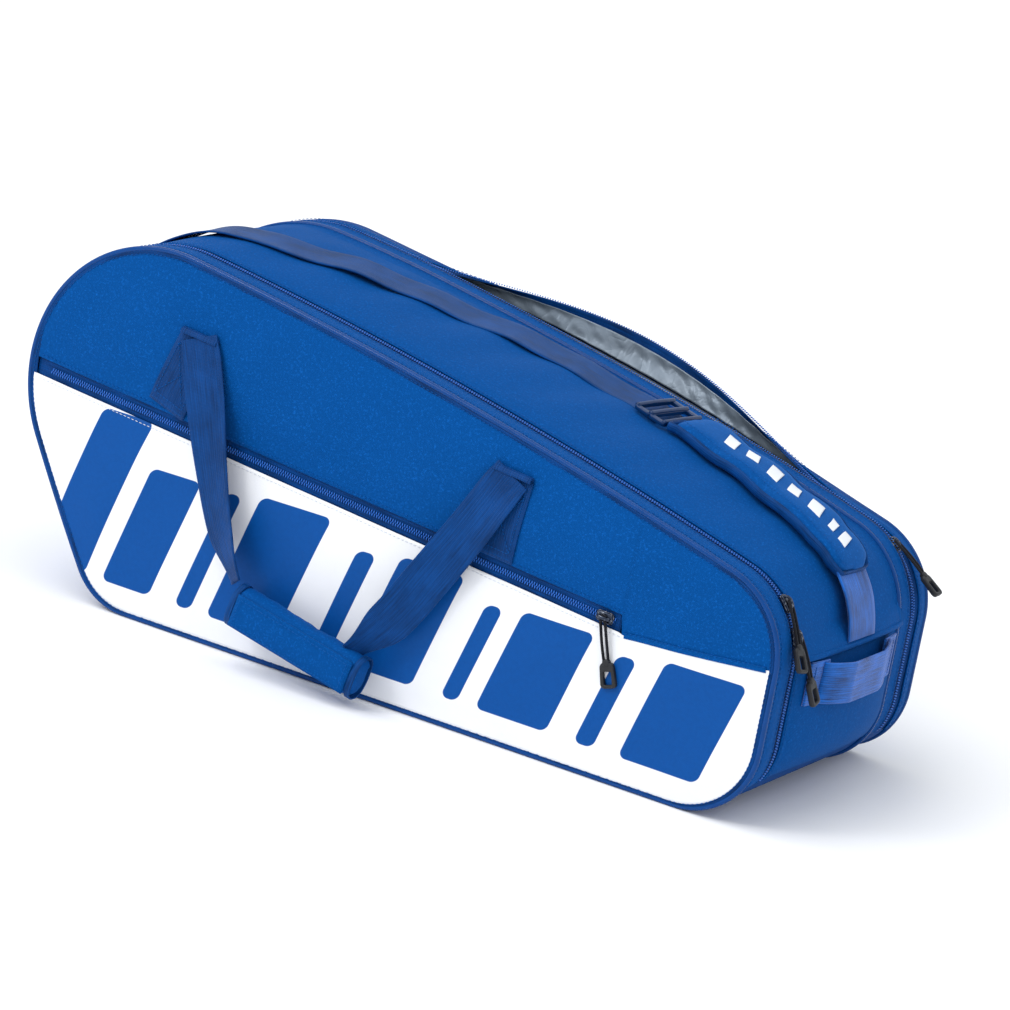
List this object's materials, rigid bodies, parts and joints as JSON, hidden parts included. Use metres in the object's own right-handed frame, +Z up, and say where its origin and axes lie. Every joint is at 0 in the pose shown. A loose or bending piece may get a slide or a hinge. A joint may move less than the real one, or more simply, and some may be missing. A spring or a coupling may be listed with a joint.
{
  "type": "racket tournament bag",
  "caption": "A royal-blue racket tournament bag with two zipped compartments, a white front pocket, carry handles and a padded shoulder strap.",
  "frame": {"origin": "middle of the base, on the surface that the bag stands on", "axes": "+X towards the narrow end, +Y towards the back (away from the pocket), +Z up"},
  "size_m": [0.7764, 0.3746, 0.3286],
  "materials": {
    "blue_cloth": "woven polyester, satin",
    "base_cloth": "coated woven polyester",
    "white_coated_cloth": "coated, smooth, slightly glossy",
    "inner_cloth": "woven polyester",
    "silver_lining": "metallic coated lining",
    "board": "stiff sheet",
    "foam": "closed cell foam sheet",
    "piping": "glossy coated piping",
    "zip_tape": "woven tape",
    "zip_teeth": "coil teeth",
    "slider_metal": "dark enamelled zinc",
    "pull_cord": "braided cord",
    "pull_plastic": "moulded rubbery plastic",
    "blue_webbing": "ribbed webbing",
    "violet_webbing": "fine satin webbing",
    "lock_plastic": "moulded acetal"
  },
  "bodies": {
    "bag": {"base_gusset": "base_cloth", "base_board": "board", "top_gusset": "blue_cloth", "left_end_gusset": "blue_cloth", "right_end_gusset": "blue_cloth", "divider_panel": "inner_cloth", "divider_lining": "silver_lining", "seam_piping": "piping", "main_zip_inner_tape": "zip_tape", "main_zip_inner_teeth": "zip_teeth", "rear_strip": "blue_cloth", "rear_zip_inner_tape": "zip_tape", "rear_zip_inner_teeth": "zip_teeth", "strap_anchor": "violet_webbing", "grab_handle_tabs": "violet_webbing"},
    "front_door": {"front_pocket_panel": "white_coated_cloth", "front_upper_panel": "blue_cloth", "front_inner_panel": "inner_cloth", "front_foam": "foam", "front_piping": "piping", "front_strip": "blue_cloth", "main_zip_outer_tape": "zip_tape", "main_zip_outer_teeth": "zip_teeth", "pocket_zip_tape": "zip_tape", "pocket_zip_teeth": "zip_teeth", "front_handle_patches": "blue_webbing"},
    "rear_door": {"rear_panel": "blue_cloth", "rear_lining": "silver_lining", "rear_piping": "piping", "rear_lip": "blue_cloth", "rear_zip_outer_tape": "zip_tape", "rear_zip_outer_teeth": "zip_teeth", "rear_handle_patches": "blue_webbing"},
    "upper_slider": {"upper_slider": "slider_metal"},
    "upper_pull": {"upper_pull_cord": "pull_cord", "upper_pull_tab": "pull_plastic"},
    "lower_slider": {"lower_slider": "slider_metal"},
    "lower_pull": {"lower_pull_cord": "pull_cord", "lower_pull_tab": "pull_plastic"},
    "rear_slider": {"rear_slider": "slider_metal"},
    "rear_pull": {"rear_pull_cord": "pull_cord", "rear_pull_tab": "pull_plastic"},
    "pocket_slider": {"pocket_slider": "slider_metal"},
    "pocket_pull": {"pocket_pull_cord": "pull_cord", "pocket_pull_tab": "pull_plastic"},
    "front_handle": {"front_handle_webbing": "blue_webbing", "grip_wrap": "blue_cloth"},
    "wrap_flap": {"grip_wrap_flap": "blue_cloth"},
    "rear_handle": {"rear_handle_webbing": "blue_webbing"},
    "strap_web": {"strap_webbing": "violet_webbing", "strap_tail": "violet_webbing"},
    "strap_pad": {"strap_pad_cover": "blue_cloth", "strap_end_webbing": "violet_webbing"},
    "strap_lock": {"ladder_lock": "lock_plastic"},
    "end_handle": {"grab_handle": "violet_webbing"}
  },
  "joints": [
    {"name": "front_door_hinge", "type": "hinge", "parent": "bag", "child": "front_door", "pos_m": [0, -0.1515, 0], "axis": [1, 0, 0], "range_deg": [0, 30]},
    {"name": "rear_door_hinge", "type": "hinge", "parent": "bag", "child": "rear_door", "pos_m": [0, 0.1515, 0], "axis": [-1, 0, 0], "range_deg": [0, 25]},
    {"name": "front_handle_hinge", "type": "hinge", "parent": "front_door", "child": "front_handle", "pos_m": [-0.206, -0.156, 0.26219], "axis": [-0.9952, 0, 0.0975], "range_deg": [0, 160]},
    {"name": "rear_handle_hinge", "type": "hinge", "parent": "rear_door", "child": "rear_handle", "pos_m": [-0.206, 0.162, 0.26219], "axis": [0.9947, 0.0282, -0.0993], "range_deg": [0, 150]},
    {"name": "wrap_flap_hinge", "type": "hinge", "parent": "front_handle", "child": "wrap_flap", "pos_m": [-0.10747, -0.1923, 0.07063], "axis": [-0.9781, 0, 0.2079], "range_deg": [0, 95]},
    {"name": "upper_slider_travel", "type": "hinge", "parent": "bag", "child": "upper_slider", "pos_m": [0.3, -0.117, 0.135], "axis": [0, -1, 0], "range_deg": [0, 31]},
    {"name": "lower_slider_travel", "type": "hinge", "parent": "bag", "child": "lower_slider", "pos_m": [0.3, -0.117, 0.135], "axis": [0, 1, 0], "range_deg": [0, 19]},
    {"name": "rear_slider_travel", "type": "hinge", "parent": "bag", "child": "rear_slider", "pos_m": [0.3, 0.12, 0.135], "axis": [0, 1, 0], "range_deg": [0, 44]},
    {"name": "pocket_slider_travel", "type": "slide", "parent": "front_door", "child": "pocket_slider", "axis": [-0.9952, 0, 0.0975], "range_m": [0, 0.52]},
    {"name": "upper_pull_hinge", "type": "hinge", "parent": "upper_slider", "child": "upper_pull", "pos_m": [0.36075, -0.117, 0.18781], "axis": [0, -1, 0], "range_deg": [0, 100]},
    {"name": "lower_pull_hinge", "type": "hinge", "parent": "lower_slider", "child": "lower_pull", "pos_m": [0.37584, -0.117, 0.162], "axis": [0, -1, 0], "range_deg": [0, 100]},
    {"name": "rear_pull_hinge", "type": "hinge", "parent": "rear_slider", "child": "rear_pull", "pos_m": [0.34732, 0.12, 0.20013], "axis": [0, -1, 0], "range_deg": [0, 100]},
    {"name": "pocket_pull_hinge", "type": "hinge", "parent": "pocket_slider", "child": "pocket_pull", "pos_m": [0.217, -0.1563, 0.13673], "axis": [-0.9511, 0, -0.309], "range_deg": [0, 110]},
    {"name": "strap_pad_hinge", "type": "hinge", "parent": "bag", "child": "strap_pad", "pos_m": [0.37477, -0.00835, 0.14472], "axis": [0, 1, 0], "range_deg": [0, 10]},
    {"name": "strap_web_hinge", "type": "hinge", "parent": "bag", "child": "strap_web", "pos_m": [-0.33063, -0.03835, 0.29729], "axis": [0, -1, 0], "range_deg": [0, 6]},
    {"name": "ladder_lock_hinge", "type": "hinge", "parent": "strap_pad", "child": "strap_lock", "pos_m": [0.16556, 0.02165, 0.24917], "axis": [0, 1, 0], "range_deg": [0, 11]},
    {"name": "grab_handle_hinge", "type": "hinge", "parent": "bag", "child": "end_handle", "pos_m": [0.376, -0.01235, 0.118], "axis": [0, 1, 0], "range_deg": [-30, 30]}
  ],
  "couplings": [
    {"joint": "strap_web_hinge", "follows": "strap_pad_hinge", "ratio": 0.45}
  ]
}
